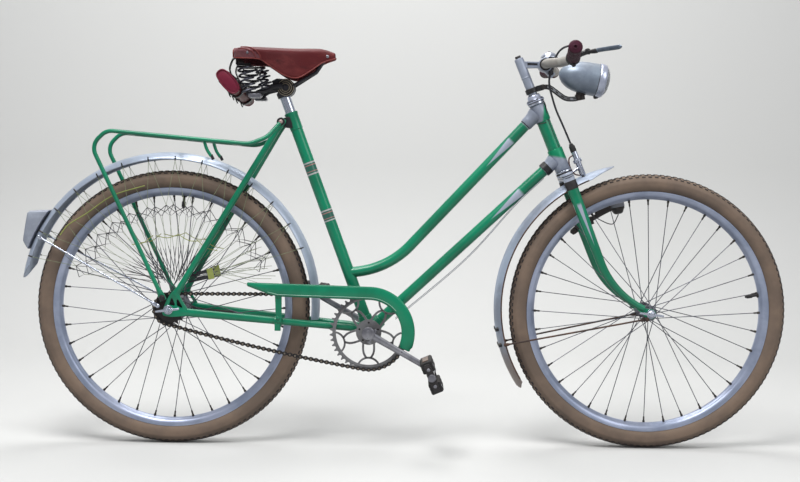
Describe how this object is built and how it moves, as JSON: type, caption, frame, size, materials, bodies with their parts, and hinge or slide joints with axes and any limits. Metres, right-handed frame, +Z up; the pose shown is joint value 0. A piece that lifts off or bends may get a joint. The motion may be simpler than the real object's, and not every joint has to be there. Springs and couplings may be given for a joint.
{
  "type": "vintage bicycle",
  "caption": "Step-through roadster bicycle with carrier, mudguards, chain guard, sprung saddle and headlamp; steering, wheels, cranks and pedals turn.",
  "frame": {"origin": "the rider's seat point on top of the saddle, in the middle plane", "axes": "+X forward, +Y to the rider's left, +Z up"},
  "size_m": [1.8186, 0.5386, 0.948],
  "materials": {
    "green_paint": "glossy emerald enamel with small chips",
    "silver_lug": "silver paint",
    "bright_steel": "aged bright plating",
    "dark_steel": "blackened steel",
    "leather": "worn burgundy hide",
    "mudguard_steel": "dull silver with rust",
    "lamp_grey": "aged silver",
    "lamp_glass": "clear glass",
    "chain_steel": "oily steel",
    "crank_steel": "worn steel",
    "pedal_rubber": "black rubber",
    "tyre_rubber": "tan walls and dark tread",
    "rim_steel": "blue-grey plated steel",
    "hub_steel": "dull dark steel",
    "black_sheath": "black cable sheath",
    "grip_rubber": "dark red"
  },
  "bodies": {
    "frame": {"head_tube": "green_paint", "upper_head_lug": "silver_lug", "lower_head_lug": "silver_lug", "upper_tube": "green_paint", "lower_tube": "green_paint", "seat_tube": "green_paint", "seat_lug": "green_paint", "bottom_bracket_shell": "green_paint", "chain_stays": "green_paint", "seat_stays": "green_paint", "rear_dropouts": "green_paint", "headset_cups": "bright_steel", "seat_post": "bright_steel", "saddle_clamp": "dark_steel", "saddle_leather": "leather", "saddle_frame": "dark_steel", "saddle_springs": "dark_steel", "saddle_bag": "leather", "carrier": "green_paint", "rear_mudguard": "mudguard_steel", "rear_mudguard_stays": "bright_steel", "tail_lamp": "lamp_grey", "chain_guard": "green_paint", "chain_guard_bracket": "green_paint", "chain": "chain_steel", "rear_sprocket": "chain_steel", "rear_axle": "bright_steel"},
    "steering": {"front_axle": "bright_steel", "fork": "green_paint", "headset_nuts": "bright_steel", "stem": "bright_steel", "handlebar": "bright_steel", "grips": "grip_rubber", "brake_lever": "bright_steel", "plunger_brake": "bright_steel", "brake_cable": "black_sheath", "headlamp": "lamp_grey", "headlamp_glass": "lamp_glass", "lamp_bracket": "dark_steel", "front_mudguard": "mudguard_steel", "front_mudguard_stays": "bright_steel", "dynamo": "lamp_grey", "bell": "bright_steel"},
    "rear_wheel": {"rear_tyre": "tyre_rubber", "rear_rim": "rim_steel", "rear_hub": "hub_steel"},
    "front_wheel": {"front_tyre": "tyre_rubber", "front_rim": "rim_steel", "front_hub": "hub_steel"},
    "crank": {"chainwheel": "chain_steel", "cranks": "crank_steel"},
    "right_pedal": {"right_pedal": "pedal_rubber"},
    "left_pedal": {"left_pedal": "pedal_rubber"}
  },
  "joints": [
    {"name": "steering", "type": "hinge", "parent": "frame", "child": "steering", "pos_m": [0.67689, 0, -0.28237], "axis": [-0.3843, 0, 0.9232], "range_deg": [-80, 80]},
    {"name": "front_wheel_spin", "type": "hinge", "parent": "steering", "child": "front_wheel", "pos_m": [0.88027, 0, -0.6169], "axis": [0, 1, 0], "continuous": true},
    {"name": "rear_wheel_spin", "type": "hinge", "parent": "frame", "child": "rear_wheel", "pos_m": [-0.24973, 0, -0.6169], "axis": [0, 1, 0], "continuous": true},
    {"name": "crank_spin", "type": "hinge", "parent": "frame", "child": "crank", "pos_m": [0.22047, 0, -0.6669], "axis": [0, 1, 0], "continuous": true},
    {"name": "right_pedal_spin", "type": "hinge", "parent": "crank", "child": "right_pedal", "pos_m": [0.36813, -0.12, -0.75113], "axis": [0, 1, 0], "continuous": true},
    {"name": "left_pedal_spin", "type": "hinge", "parent": "crank", "child": "left_pedal", "pos_m": [0.0728, 0.12, -0.58267], "axis": [0, 1, 0], "continuous": true}
  ]
}
